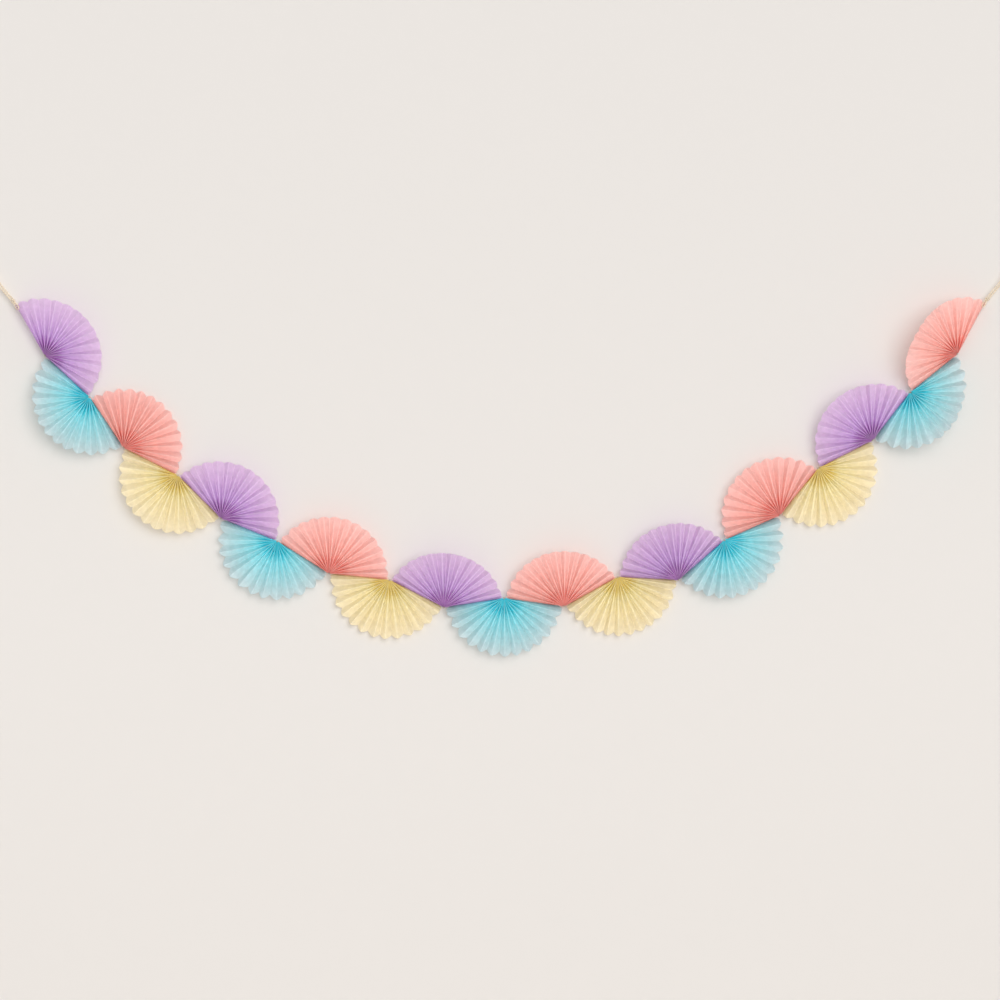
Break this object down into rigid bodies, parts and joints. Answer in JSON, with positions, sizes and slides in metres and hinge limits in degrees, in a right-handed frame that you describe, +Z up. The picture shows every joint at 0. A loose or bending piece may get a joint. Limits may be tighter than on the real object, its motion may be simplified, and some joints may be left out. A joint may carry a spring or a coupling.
{
  "type": "paper fan banner",
  "caption": "Hanging garland of pleated paper half-rosettes with scalloped rims, turned up and down by turns and glued edge to edge, with a loop of twine at each end.",
  "frame": {"origin": "the left hook's place, inside the bight of the left twine loop", "axes": "+X along the banner from its left end to its right end, +Z up, the front faces -Y"},
  "size_m": [1.2769, 0.0485, 0.4857],
  "materials": {
    "paper_lilac": "matte",
    "paper_aqua": "matte",
    "paper_coral": "matte",
    "paper_yellow": "matte",
    "glue": "dried, milky",
    "twine": "twisted fibre"
  },
  "bodies": {
    "root": {"fan_01": "paper_lilac", "fan_02": "paper_aqua", "fan_03": "paper_coral", "fan_04": "paper_yellow", "fan_05": "paper_lilac", "fan_06": "paper_aqua", "fan_07": "paper_coral", "fan_08": "paper_yellow", "fan_09": "paper_lilac", "fan_10": "paper_aqua", "fan_11": "paper_coral", "fan_12": "paper_yellow", "fan_13": "paper_lilac", "fan_14": "paper_aqua", "fan_15": "paper_coral", "fan_16": "paper_yellow", "fan_17": "paper_lilac", "fan_18": "paper_aqua", "fan_19": "paper_coral", "glue_01": "glue", "glue_02": "glue", "glue_03": "glue", "glue_04": "glue", "glue_05": "glue", "glue_06": "glue", "glue_07": "glue", "glue_08": "glue", "glue_09": "glue", "glue_10": "glue", "glue_11": "glue", "glue_12": "glue", "glue_13": "glue", "glue_14": "glue", "glue_15": "glue", "glue_16": "glue", "glue_17": "glue", "glue_18": "glue", "glue_19": "glue", "twine_left": "twine", "twine_right": "twine", "knot_left": "twine", "knot_right": "twine"}
  },
  "joints": []
}
